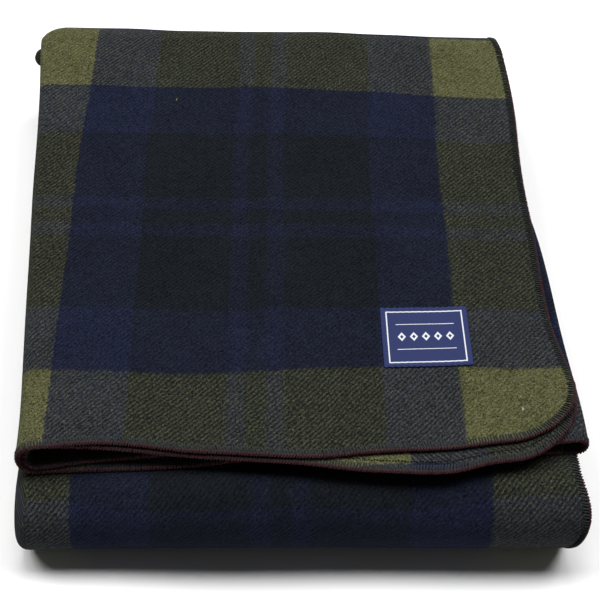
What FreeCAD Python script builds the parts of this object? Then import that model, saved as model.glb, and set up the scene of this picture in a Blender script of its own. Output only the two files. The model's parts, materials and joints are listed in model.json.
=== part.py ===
"""Wool camp blanket, folded in quarters along its width and then rolled flat.

The cloth is one continuous sheet. Across the width (X) it makes a nested quarter fold of four
layers; along the length it runs through five flat sections joined by four half-turn bends, like
a flat roll. Its whole edge is overlocked: a channel of looper thread wraps the edge and a purl
thread runs along the very rim. A woven label is sewn on the top layer.

Frame: millimetres, +X right, +Y back, +Z up, origin at the bottom centre of the folded blanket.
"""
import FreeCAD, Part
import os
from math import cos, pi, sin

from FreeCAD import Vector

# Flat blanket
FLAT_WIDTH = 1300.0
FLAT_LENGTH = 1900.0
CLOTH = 3.0
CORNER_R = 40.0

# Fold: gaps between neighbours, and how far each free edge stops short of the fold below it
LAYER_GAP = 0.4
SECTION_GAP = 1.0
OUTER_END_SETBACK = 5.0
INNER_END_SETBACK = 3.0
SIDE_A_SETBACK = 7.0
SIDE_B_SETBACK = 9.0
FOLD_CHORDS = 3

# Overlocked edge
WRAP_WIDTH = 4.2
WRAP_THREAD = 0.3
PURL_HIGH = 1.4
PURL_OUT = 0.7

# Label
LABEL_SIZE = (51.0, 43.0)
LABEL_THICK = 0.6
LABEL_CENTRE = (81.4, -83.9)
LABEL_TURN = 1.5
STITCH = (2.4, 0.5, 0.25)
STITCHES_PER_SIDE = 14

# Worked-out sizes
LAYER_PITCH = CLOTH + LAYER_GAP
STRIP = 4 * CLOTH + 3 * LAYER_GAP
SECTION_PITCH = STRIP + SECTION_GAP
HEIGHT = 5 * STRIP + 4 * SECTION_GAP
FOLD_OUTER = 1.5 * LAYER_PITCH
FOLD_INNER = 0.5 * LAYER_PITCH
FOLD_LENGTHS = pi * (FOLD_OUTER + 2 * FOLD_INNER)
SIDE_SETBACKS = SIDE_A_SETBACK + SIDE_B_SETBACK - 2 * (FOLD_INNER + CLOTH / 2)
LAYER_RUN = (FLAT_WIDTH - FOLD_LENGTHS + SIDE_SETBACKS) / 4
FOLDED_WIDTH = LAYER_RUN + FOLD_OUTER + FOLD_INNER + CLOTH
X_LEFT_FOLD = -FOLDED_WIDTH / 2 + FOLD_OUTER + CLOTH / 2
X_RIGHT_FOLD = X_LEFT_FOLD + LAYER_RUN
X_SIDE_A = FOLDED_WIDTH / 2 - SIDE_A_SETBACK
X_SIDE_B = FOLDED_WIDTH / 2 - SIDE_B_SETBACK

# Section mid heights, bottom to top: second, fourth, fifth, third and first along the cloth
Z_SECOND, Z_FOURTH, Z_FIFTH, Z_THIRD, Z_FIRST = (
    STRIP / 2 + k * SECTION_PITCH for k in range(5)
)
R_BACK_OUTER = (Z_FIRST - Z_SECOND) / 2
R_FRONT_OUTER = (Z_THIRD - Z_SECOND) / 2
R_BACK_INNER = (Z_THIRD - Z_FOURTH) / 2
R_FRONT_INNER = (Z_FIFTH - Z_FOURTH) / 2
BEND_LENGTHS = pi * (R_BACK_OUTER + R_FRONT_OUTER + R_BACK_INNER + R_FRONT_INNER)
END_SETBACKS = OUTER_END_SETBACK + INNER_END_SETBACK
SECTION_RUN = (FLAT_LENGTH + END_SETBACKS - BEND_LENGTHS) / 5
FOLDED_LENGTH = SECTION_RUN + R_BACK_OUTER + R_FRONT_OUTER + STRIP
Y_BACK = FOLDED_LENGTH / 2 - R_BACK_OUTER - STRIP / 2
Y_FRONT = Y_BACK - SECTION_RUN
Y_OUTER_END = Y_FRONT + OUTER_END_SETBACK
Y_INNER_END = Y_BACK - INNER_END_SETBACK
END_BLOCK = CORNER_R + 6.0


def chain(points):
    """Closed wire of straight edges through points."""
    return Part.makePolygon(points + [points[0]])


def serpentine(place, thick, x_a, x_b, tongue=None):
    """Outline of the four nested layers in X and n, the distance out of the strip.

    place turns (x, n) into a point. tongue is (reach, thick) of the thinned edge that the
    overlock wraps, or None for plain edges.
    """
    h = thick / 2
    n1, n2, n3, n4 = (k * LAYER_PITCH for k in (1.5, 0.5, -0.5, -1.5))
    xl, xr = X_LEFT_FOLD, X_RIGHT_FOLD

    def edge(x, n, way):
        """Points round a free edge, from the face on side `way` to the other face."""
        if tongue is None:
            return [place(x, n + way * h), place(x, n - way * h)]
        reach, thin = tongue
        t = thin / 2
        steps = [(0, h), (0, t), (reach, t), (reach, -t), (0, -t), (0, -h)]
        return [place(x + dx, n + way * dn) for dx, dn in steps]

    def turn(x, n_from, n_to, side, chords=FOLD_CHORDS):
        """Half turn in chords about x, reaching one radius to side, from n_from to n_to."""
        r, mid = (n_from - n_to) / 2, (n_from + n_to) / 2
        bulge = side * abs(r) / sin(pi * (chords // 2) / chords) if chords > 1 else 0
        angles = [pi * k / chords for k in range(chords + 1)]
        return [place(x + bulge * sin(a), mid + r * cos(a)) for a in angles]

    return chain(
        edge(x_a, n1, -1)
        + turn(xl, n1 + h, n4 - h, -1)
        + turn(xr, n4 - h, n3 + h, 1)
        + turn(xl, n3 + h, n2 - h, -1, 1)
        + edge(x_b, n2, -1)
        + turn(xl, n2 + h, n3 - h, -1)
        + turn(xr, n3 - h, n4 + h, 1, 1)
        + turn(xl, n4 + h, n1 - h, -1)
    )


def box_outline(place, x0, x1, n0, n1):
    """Rectangle in X and n."""
    return chain([place(x0, n0), place(x1, n0), place(x1, n1), place(x0, n1)])


def channel_outline(place, x_edge, n):
    """Channel that wraps a free edge at x_edge of the layer at n, open towards the cloth."""
    h, t = CLOTH / 2, CLOTH / 2 - WRAP_THREAD
    x0, x1 = x_edge - WRAP_THREAD - WRAP_WIDTH, x_edge - WRAP_THREAD
    corners = [(x0, h), (x_edge, h), (x_edge, -h), (x0, -h), (x0, -t), (x1, -t), (x1, t), (x0, t)]
    return chain([place(x, n + dn) for x, dn in corners])


def station(y, z, out):
    """A place function: X stays, n runs along Z with sign out."""
    return lambda x, n: Vector(x, y, z + out * n)


def run_from(outline, legs):
    """One solid: the outline carried through legs of straight runs and half-turn bends."""
    faces = []
    for leg in legs:
        wire = outline(station(leg["y"], leg["z"], leg["out"]))
        if "to" in leg:
            side = wire.extrude(Vector(0, leg["to"] - leg["y"], 0))
        else:
            centre = Vector(0, leg["y"], leg["z"] - leg["out"] * leg["r"])
            side = wire.revolve(centre, Vector(-1, 0, 0), 180)
        faces += side.Faces
    first, last = legs[0], legs[-1]
    start = outline(station(first["y"], first["z"], first["out"]))
    end = outline(station(last["to"], last["z"], last["out"]))
    faces += [Part.Face(start), Part.Face(end)]
    shell = Part.makeShell(faces)
    shell.sewShape()
    solid = Part.makeSolid(Part.Shell(shell.Faces))
    if solid.Volume < 0:
        solid.reverse()
    return solid


def roll_legs(y_start, y_stop):
    """The flat roll, from y_start on the first section to y_stop on the fifth."""
    return [
        {"y": y_start, "z": Z_FIRST, "out": 1, "to": Y_BACK},
        {"y": Y_BACK, "z": Z_FIRST, "out": 1, "r": R_BACK_OUTER},
        {"y": Y_BACK, "z": Z_SECOND, "out": -1, "to": Y_FRONT},
        {"y": Y_FRONT, "z": Z_SECOND, "out": -1, "r": R_FRONT_OUTER},
        {"y": Y_FRONT, "z": Z_THIRD, "out": 1, "to": Y_BACK},
        {"y": Y_BACK, "z": Z_THIRD, "out": 1, "r": R_BACK_INNER},
        {"y": Y_BACK, "z": Z_FOURTH, "out": -1, "to": Y_FRONT},
        {"y": Y_FRONT, "z": Z_FOURTH, "out": -1, "r": R_FRONT_INNER},
        {"y": Y_FRONT, "z": Z_FIFTH, "out": 1, "to": y_stop},
    ]


def corner_waste(x_edge, y_end, inward, radius, z_mid):
    """What a rounded corner takes off one layer: a square less its quarter disc."""
    z0 = z_mid - LAYER_PITCH / 2
    y0 = y_end if inward > 0 else y_end - radius
    square = Part.makeBox(radius, radius, LAYER_PITCH, Vector(x_edge - radius, y0, z0))
    centre = Vector(x_edge - radius, y_end + inward * radius, z0)
    return square.cut(Part.makeCylinder(radius, LAYER_PITCH, centre))


def end_envelope(y_end, inward, z, thick, inset):
    """The folded end within END_BLOCK of the rim, inset from it, with its corners rounded."""
    x_a, x_b = X_SIDE_A - inset, X_SIDE_B - inset
    y0 = y_end + inward * inset
    y1 = y_end + inward * END_BLOCK
    wire = serpentine(station(y0, z, 1), thick, x_a, x_b)
    block = Part.Face(wire).extrude(Vector(0, y1 - y0, 0))
    radius = CORNER_R - inset
    waste = [
        corner_waste(x_a, y0, inward, radius, z + 1.5 * LAYER_PITCH),
        corner_waste(x_b, y0, inward, radius, z + 0.5 * LAYER_PITCH),
    ]
    return block.cut(waste)


def end_pieces(y_end, inward, z):
    """Cloth, looper wrap and purl thread of one folded end and its two rounded corners."""
    full = end_envelope(y_end, inward, z, CLOTH, WRAP_THREAD + WRAP_WIDTH)
    tongue = end_envelope(y_end, inward, z, CLOTH - 2 * WRAP_THREAD, WRAP_THREAD)
    rim = end_envelope(y_end, inward, z, CLOTH, 0)
    bead = end_envelope(y_end, inward, z, PURL_HIGH, -PURL_OUT)
    cloth = full.fuse(tongue)
    return cloth, rim.cut(cloth), bead.cut(rim)


def cloth_outline(place):
    """Cross-section of the cloth with both side edges thinned for their wraps."""
    inset = WRAP_THREAD + WRAP_WIDTH
    tongue = (WRAP_WIDTH, CLOTH - 2 * WRAP_THREAD)
    return serpentine(place, CLOTH, X_SIDE_A - inset, X_SIDE_B - inset, tongue)


def side_pieces(x_edge, level):
    """Looper wrap and purl thread along one side edge, between the two end blocks."""
    n = level * LAYER_PITCH
    legs = roll_legs(Y_OUTER_END + END_BLOCK, Y_INNER_END - END_BLOCK)
    h = PURL_HIGH / 2
    wrap = run_from(lambda place: channel_outline(place, x_edge, n), legs)
    purl = run_from(
        lambda place: box_outline(place, x_edge, x_edge + PURL_OUT, n - h, n + h), legs
    )
    return wrap, purl


def label_placed(shape):
    """Turns and moves a shape made about the origin to the label's place on the top layer."""
    shape.rotate(Vector(0, 0, 0), Vector(0, 0, 1), LABEL_TURN)
    shape.translate(Vector(LABEL_CENTRE[0], LABEL_CENTRE[1], HEIGHT))
    return shape


def woven_label():
    """Flat woven patch, cut square."""
    w, d = LABEL_SIZE
    return label_placed(Part.makeBox(w, d, LABEL_THICK, Vector(-w / 2, -d / 2, 0)))


def label_stitches():
    """Two rows of sewing stitches, just inside the label's front and back edges."""
    length, wide, high = STITCH
    w, d = LABEL_SIZE
    pitch = (w - 2.0) / STITCHES_PER_SIDE
    stitches = []
    for side in (-1, 1):
        y = side * (d / 2 - 1.2) - wide / 2
        for k in range(STITCHES_PER_SIDE):
            x = (k + 0.5 - STITCHES_PER_SIDE / 2) * pitch - length / 2
            stitches.append(Part.makeBox(length, wide, high, Vector(x, y, LABEL_THICK)))
    return label_placed(Part.makeCompound(stitches))


def build():
    """Makes every node and returns them by name."""
    outer_cloth, outer_wrap, outer_purl = end_pieces(Y_OUTER_END, 1, Z_FIRST)
    inner_cloth, inner_wrap, inner_purl = end_pieces(Y_INNER_END, -1, Z_FIFTH)
    middle = run_from(
        cloth_outline, roll_legs(Y_OUTER_END + END_BLOCK, Y_INNER_END - END_BLOCK)
    )
    nodes = {
        "blanket_cloth": middle.fuse([outer_cloth, inner_cloth]),
        "looper_wrap_outer_end": outer_wrap,
        "purl_thread_outer_end": outer_purl,
        "looper_wrap_inner_end": inner_wrap,
        "purl_thread_inner_end": inner_purl,
        "woven_label": woven_label(),
        "label_stitches": label_stitches(),
    }
    for name, x_edge, level in (("side_a", X_SIDE_A, 1.5), ("side_b", X_SIDE_B, 0.5)):
        wrap, purl = side_pieces(x_edge, level)
        nodes["looper_wrap_" + name] = wrap
        nodes["purl_thread_" + name] = purl
    return nodes


os.makedirs("parts", exist_ok=True)
for node, shape in build().items():
    shape.exportStep("parts/" + node + ".step")
    box = shape.BoundBox
    print(
        f"{node}: {len(shape.Solids)} solids, {shape.Volume / 1000:.1f} cm3,"
        f" valid {shape.isValid()}, X {box.XMin:.2f} {box.XMax:.2f},"
        f" Y {box.YMin:.2f} {box.YMax:.2f}, Z {box.ZMin:.2f} {box.ZMax:.2f}"
    )
print(f"folded {FOLDED_WIDTH:.1f} x {FOLDED_LENGTH:.1f} x {HEIGHT:.1f} mm")
print(f"each flat run {SECTION_RUN:.1f} mm")
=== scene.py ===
"""Wool camp blanket: the cloth, its overlocked edge and its woven label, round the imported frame.

The cloth is one sheet. Every point of it has flat coordinates (u, v): u across the width from
side edge A, v along the length from the outer end. FoldedCloth.place turns them into the
folded shape, and every other piece is laid on the cloth through the same function.
"""
import json
import logging
import math
from dataclasses import dataclass, field
from enum import Enum

import bpy
import numpy as np
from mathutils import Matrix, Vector

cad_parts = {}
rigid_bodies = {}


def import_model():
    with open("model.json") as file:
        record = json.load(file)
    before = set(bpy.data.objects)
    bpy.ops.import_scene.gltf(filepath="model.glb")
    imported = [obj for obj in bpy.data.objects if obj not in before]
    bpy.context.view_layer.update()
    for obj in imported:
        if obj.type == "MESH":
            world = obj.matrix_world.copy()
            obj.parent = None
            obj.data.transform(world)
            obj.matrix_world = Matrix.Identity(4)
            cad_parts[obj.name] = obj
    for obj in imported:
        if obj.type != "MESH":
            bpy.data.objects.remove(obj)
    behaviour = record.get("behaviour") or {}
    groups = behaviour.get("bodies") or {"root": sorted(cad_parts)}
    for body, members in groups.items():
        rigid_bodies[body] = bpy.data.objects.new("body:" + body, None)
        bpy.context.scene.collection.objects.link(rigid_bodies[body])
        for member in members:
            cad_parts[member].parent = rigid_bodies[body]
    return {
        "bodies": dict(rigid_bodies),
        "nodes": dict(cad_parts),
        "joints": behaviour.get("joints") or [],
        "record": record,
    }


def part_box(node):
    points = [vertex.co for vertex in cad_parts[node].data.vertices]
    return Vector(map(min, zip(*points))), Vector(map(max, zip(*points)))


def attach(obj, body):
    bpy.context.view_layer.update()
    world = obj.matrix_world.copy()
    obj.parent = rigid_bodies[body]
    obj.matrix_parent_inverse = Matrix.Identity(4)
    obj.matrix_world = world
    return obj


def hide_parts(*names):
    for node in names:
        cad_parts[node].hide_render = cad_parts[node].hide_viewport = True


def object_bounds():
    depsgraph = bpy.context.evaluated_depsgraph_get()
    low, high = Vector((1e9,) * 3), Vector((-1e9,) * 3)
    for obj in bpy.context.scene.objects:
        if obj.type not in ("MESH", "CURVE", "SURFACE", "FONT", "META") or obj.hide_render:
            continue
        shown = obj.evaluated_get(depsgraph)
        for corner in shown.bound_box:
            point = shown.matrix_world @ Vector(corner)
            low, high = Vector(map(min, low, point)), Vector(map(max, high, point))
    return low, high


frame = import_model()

LOG = logging.getLogger("camp_blanket")
MM = 0.001
CAD_LOW, CAD_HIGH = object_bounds()
BODY = "root"
Array = np.ndarray


class Slot(Enum):
    """The record's material slots."""

    WOOL = "wool_plaid"
    LOOPER = "looper_thread"
    PURL = "purl_thread"
    LABEL = "label_weave"
    SEWING = "label_thread"


# ---------------------------------------------------------------- small numeric helpers


def smooth(x: Array | float) -> Array:
    """Smooth step: 0 below 0, 1 above 1, and 3x^2 - 2x^3 between.

    Args:
        x: Where to read the step.

    Returns:
        The step's value at each x.
    """
    x = np.clip(x, 0.0, 1.0)
    return x * x * (3 - 2 * x)


def eased(x: Array, span: tuple[float, float]) -> Array:
    """Smooth step that starts at the span's first number and takes its second to rise."""
    return smooth((x - span[0]) / span[1])


def through(knots: list[tuple[float, float]], at: Array) -> Array:
    """A smooth curve through a few knots, flat beyond the first and last.

    Cubic Hermite pieces, each knot's slope being the mean of the slopes on its two sides.

    Args:
        knots: Pairs of place and value, in rising order of place.
        at: The places to read.

    Returns:
        The curve's value at each place.
    """
    x, y = np.array(knots, float).T
    slope = np.diff(y) / np.diff(x)
    m = np.concatenate([[0.0], (slope[1:] + slope[:-1]) / 2, [0.0]])
    at = np.clip(at, x[0], x[-1])
    k = np.clip(np.searchsorted(x, at, side="right") - 1, 0, len(x) - 2)
    h = x[k + 1] - x[k]
    t = (at - x[k]) / h
    return (
        (2 * t**3 - 3 * t**2 + 1) * y[k]
        + (t**3 - 2 * t**2 + t) * h * m[k]
        + (3 * t**2 - 2 * t**3) * y[k + 1]
        + (t**3 - t**2) * h * m[k + 1]
    )


def ripple(x: Array, y: Array, wave: float, seed: int, count: int = 9) -> Array:
    """Smooth uneven waviness between about -1 and 1: a sum of plane waves in seeded directions.

    Args:
        x: First coordinate, metres.
        y: Second coordinate, metres.
        wave: Mean wavelength, metres.
        seed: Seed of the directions, lengths and phases.
        count: Number of plane waves.

    Returns:
        The sum at each point.
    """
    draw = np.random.default_rng(seed)
    angle = draw.uniform(0, math.pi, count)
    k = 2 * math.pi / (wave * draw.uniform(0.65, 1.6, count))
    phase = draw.uniform(0, 2 * math.pi, count)
    total = np.zeros(np.broadcast(x, y).shape)
    for a, kk, p in zip(angle, k, phase):
        total = total + np.sin(kk * (x * math.cos(a) + y * math.sin(a)) + p)
    return total / math.sqrt(count / 2) / 2


def unit(v: Array) -> Array:
    """Each vector of the last axis, at length one."""
    return v / np.maximum(np.linalg.norm(v, axis=-1, keepdims=True), 1e-12)


# ---------------------------------------------------------------- meshes


def mesh_object(name: str, verts: Array, faces: Array, finish: "Finish",
                smooth_shaded: bool = True) -> bpy.types.Object:
    """Makes a mesh object at the origin that rides on the blanket's body.

    Args:
        name: The piece's name.
        verts: Vertex places, (n, 3), metres.
        faces: Vertex numbers, (m, 3 or 4).
        finish: The piece's finish.
        smooth_shaded: Whether its faces are shaded smooth.

    Returns:
        The new object, linked to the scene.
    """
    mesh = bpy.data.meshes.new(name)
    sides = faces.shape[1]
    mesh.vertices.add(len(verts))
    mesh.vertices.foreach_set("co", np.ascontiguousarray(verts, np.float32).ravel())
    mesh.loops.add(faces.size)
    mesh.loops.foreach_set("vertex_index", np.ascontiguousarray(faces, np.int32).ravel())
    mesh.polygons.add(len(faces))
    mesh.polygons.foreach_set("loop_start", np.arange(0, faces.size, sides, dtype=np.int32))
    mesh.update(calc_edges=True)
    mesh.polygons.foreach_set("use_smooth", np.full(len(faces), smooth_shaded))
    mesh.validate()
    mesh.materials.append(finish.material())
    piece = bpy.data.objects.new(name, mesh)
    bpy.context.scene.collection.objects.link(piece)
    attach(piece, BODY)
    return piece


def grid_faces(rows: int, columns: int, wrap: bool = False) -> Array:
    """Quads of a grid whose vertex number is row * columns + column.

    Args:
        rows: Number of vertex rows.
        columns: Number of vertex columns.
        wrap: Whether the last column joins the first.

    Returns:
        The quads, (m, 4).
    """
    i, j = np.meshgrid(np.arange(rows - 1), np.arange(columns if wrap else columns - 1),
                       indexing="ij")
    a = i * columns + j
    b = i * columns + (j + 1) % columns
    return np.stack([a, b, b + columns, a + columns], -1).reshape(-1, 4)


def tubes(paths: Array, radius: Array, across: Array, sides: int = 4) -> tuple[Array, Array]:
    """Many short closed threads: a small polygon carried along each path.

    Around each path point the ring is point + r cos(a) B + r sin(a) N, where N is across made
    square to the path and B is square to both. Both ends close to their path's end point.

    Args:
        paths: Path points, (threads, points, 3).
        radius: Radius at each path point, broadcastable to (threads, points).
        across: A direction that is never along the path, (threads, points, 3).
        sides: Sides of the polygon.

    Returns:
        Vertices and quads of all the threads.
    """
    count, points = paths.shape[:2]
    along = unit(np.gradient(paths, axis=1))
    normal = unit(across - (across * along).sum(-1, keepdims=True) * along)
    side = np.cross(along, normal)
    angle = 2 * math.pi * np.arange(sides) / sides
    r = np.broadcast_to(radius, (count, points)).copy()
    r[:, 0] = r[:, -1] = 1e-5
    ring = (np.cos(angle)[:, None] * side[:, :, None, :]
            + np.sin(angle)[:, None] * normal[:, :, None, :])
    verts = paths[:, :, None, :] + r[:, :, None, None] * ring
    one = grid_faces(points, sides, wrap=True)
    start = np.arange(count)[:, None, None] * points * sides
    return verts.reshape(-1, 3), (one[None] + start).reshape(-1, 4)


# ---------------------------------------------------------------- shader building


class Value:
    """A shader socket that can be used in Python arithmetic; each operator adds a Math node."""

    def __init__(self, nodes: "Nodes", socket: bpy.types.NodeSocket) -> None:
        """Keeps the node tree and the socket."""
        self.nodes = nodes
        self.socket = socket

    def _math(self, operation: str, *values: "Value | float", clamp: bool = False) -> "Value":
        """One Math node on these values."""
        settings = {"operation": operation, "use_clamp": clamp}
        return self.nodes.add("ShaderNodeMath", settings, dict(enumerate(values)))

    def __add__(self, other: "Value | float") -> "Value":
        """Sum."""
        return self._math("ADD", self, other)

    __radd__ = __add__

    def __sub__(self, other: "Value | float") -> "Value":
        """Difference."""
        return self._math("SUBTRACT", self, other)

    def __rsub__(self, other: float) -> "Value":
        """Difference from a number."""
        return self._math("SUBTRACT", other, self)

    def __mul__(self, other: "Value | float") -> "Value":
        """Product."""
        return self._math("MULTIPLY", self, other)

    __rmul__ = __mul__

    def __truediv__(self, other: "Value | float") -> "Value":
        """Quotient."""
        return self._math("DIVIDE", self, other)

    def __mod__(self, other: float) -> "Value":
        """Remainder, never negative."""
        return self._math("FLOORED_MODULO", self, other)

    def sine(self) -> "Value":
        """Sine of an angle in radians."""
        return self._math("SINE", self)

    def clamped(self) -> "Value":
        """The value held between 0 and 1."""
        return self._math("ADD", self, 0.0, clamp=True)

    def most(self, other: "Value | float") -> "Value":
        """The larger of two values."""
        return self._math("MAXIMUM", self, other)

    def size(self) -> "Value":
        """The value without its sign."""
        return self._math("ABSOLUTE", self)

    def step(self, low: float, high: float) -> "Value":
        """Smooth step from 0 at low to 1 at high.

        Args:
            low: Where the step starts.
            high: Where it ends.

        Returns:
            The step's value.
        """
        settings = {"interpolation_type": "SMOOTHSTEP"}
        return self.nodes.add("ShaderNodeMapRange", settings,
                              {"Value": self, "From Min": low, "From Max": high})


class Nodes:
    """One material's node tree and its Principled shader."""

    def __init__(self, name: str) -> None:
        """Makes the material with its shader and output.

        Args:
            name: The material's name.
        """
        self.material = bpy.data.materials.new(name)
        self.material.use_nodes = True
        self.tree = self.material.node_tree
        self.tree.nodes.clear()
        self.shader = self.tree.nodes.new("ShaderNodeBsdfPrincipled")
        output = self.tree.nodes.new("ShaderNodeOutputMaterial")
        self.tree.links.new(self.shader.outputs[0], output.inputs["Surface"])

    def add(self, kind: str, settings: dict | None = None, values: dict | None = None,
            output: int | str = 0) -> Value:
        """Adds one node: its settings first, then the values or links of its sockets.

        Args:
            kind: The node's type.
            settings: Node properties by name; "stops" sets a colour ramp's (place, colour) stops.
            values: Socket values or Values by socket name or number.
            output: Which output socket to return.

        Returns:
            The node's output socket as a Value.
        """
        node = self.tree.nodes.new(kind)
        for key, setting in (settings or {}).items():
            if key == "stops":
                self._ramp(node.color_ramp, setting)
            elif key == "ramp_interpolation":
                node.color_ramp.interpolation = setting
            else:
                setattr(node, key, setting)
        for key, value in (values or {}).items():
            self.feed(node.inputs[key], value)
        return Value(self, node.outputs[output])

    def feed(self, socket: bpy.types.NodeSocket, value: "Value | float | tuple") -> None:
        """Links a Value to a socket, or sets the socket's own number.

        Args:
            socket: The socket to feed.
            value: A Value, or what the socket holds by itself.
        """
        if isinstance(value, Value):
            self.tree.links.new(value.socket, socket)
        else:
            socket.default_value = value

    @staticmethod
    def _ramp(ramp: bpy.types.ColorRamp, stops: list[tuple[float, tuple]]) -> None:
        """Gives a ramp exactly these stops.

        Args:
            ramp: The colour ramp.
            stops: Pairs of place and colour, in rising order of place.
        """
        while len(ramp.elements) > 1:
            ramp.elements.remove(ramp.elements[-1])
        ramp.elements[0].position = stops[0][0]
        ramp.elements[0].color = (*stops[0][1], 1)
        for place, colour in stops[1:]:
            ramp.elements.new(place).color = (*colour, 1)

    def mix(self, factor: Value | float, a: Value | tuple, b: Value | tuple) -> Value:
        """Mixes two colours.

        Args:
            factor: Share of the second colour.
            a: First colour.
            b: Second colour.

        Returns:
            The mixed colour.
        """
        node = self.tree.nodes.new("ShaderNodeMix")
        node.data_type = "RGBA"
        self.feed(node.inputs[0], factor)
        for key, value in ((6, a), (7, b)):
            self.feed(node.inputs[key], (*value, 1) if isinstance(value, tuple) else value)
        return Value(self, node.outputs[2])

    def scaled(self, colour: Value | tuple, factor: Value) -> Value:
        """A colour times a number.

        Args:
            colour: The colour.
            factor: What its three parts are multiplied by.

        Returns:
            The scaled colour.
        """
        return self.add("ShaderNodeVectorMath", {"operation": "SCALE"},
                        {0: colour, "Scale": factor})

    def noise(self, vector: Value, scale: float, detail: float = 2.0, rough: float = 0.5,
              distortion: float = 0.0) -> Value:
        """Noise between about 0 and 1.

        Args:
            vector: Where to read it.
            scale: Waves per metre.
            detail: Number of finer layers.
            rough: Strength of each finer layer.
            distortion: How far the pattern is swirled.

        Returns:
            The noise.
        """
        return self.add("ShaderNodeTexNoise", {}, {
            "Vector": vector, "Scale": scale, "Detail": detail, "Roughness": rough,
            "Distortion": distortion})

    def parts(self, vector: Value) -> tuple[Value, Value, Value]:
        """Takes a vector apart.

        Args:
            vector: The vector or colour.

        Returns:
            Its three parts.
        """
        node = self.tree.nodes.new("ShaderNodeSeparateXYZ")
        self.feed(node.inputs[0], vector)
        return tuple(Value(self, out) for out in node.outputs)

    def vector(self, x: Value | float, y: Value | float, z: Value | float = 0.0) -> Value:
        """A vector from three numbers."""
        return self.add("ShaderNodeCombineXYZ", {}, {0: x, 1: y, 2: z})

    def coordinates(self) -> Value:
        """Object coordinates."""
        return self.add("ShaderNodeTexCoord", {}, {}, "Object")

    def uv(self, layer: str) -> Value:
        """The piece's own UV map."""
        return self.add("ShaderNodeUVMap", {"uv_map": layer})

    def bump(self, height: Value, distance: float, strength: float = 1.0,
             normal: Value | None = None) -> Value:
        """A Bump node on a height.

        Args:
            height: The height, in shares of distance.
            distance: The height's full range, metres.
            strength: Share of the effect.
            normal: A normal to start from.

        Returns:
            The bumped normal.
        """
        values = {"Height": height, "Distance": distance, "Strength": strength}
        if normal is not None:
            values["Normal"] = normal
        return self.add("ShaderNodeBump", {}, values)

    def finish(self, colour: Value | tuple, roughness: Value | float, normal: Value,
               sheen: float = 0.0, sheen_rough: float = 0.5) -> bpy.types.Material:
        """Feeds the shader.

        Args:
            colour: Base colour.
            roughness: Roughness.
            normal: Normal.
            sheen: Sheen weight, the same all over.
            sheen_rough: Sheen roughness, the same all over.

        Returns:
            The material.
        """
        self.feed(self.shader.inputs["Base Color"],
                  (*colour, 1) if isinstance(colour, tuple) else colour)
        self.feed(self.shader.inputs["Roughness"], roughness)
        self.feed(self.shader.inputs["Normal"], normal)
        self.shader.inputs["Sheen Weight"].default_value = sheen
        self.shader.inputs["Sheen Roughness"].default_value = sheen_rough
        self.shader.inputs["Specular IOR Level"].default_value = 0.04
        return self.material


class Finish:
    """A finish that is made once and shared by its pieces."""

    _made: dict = {}

    def material(self) -> bpy.types.Material:
        """The finish's material, made at its first use.

        Returns:
            The shared material.
        """
        if self not in Finish._made:
            Finish._made[self] = self.build()
        return Finish._made[self]

    def build(self) -> bpy.types.Material:
        """Makes the material.

        Returns:
            The finished material.
        """
        raise NotImplementedError


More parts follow.
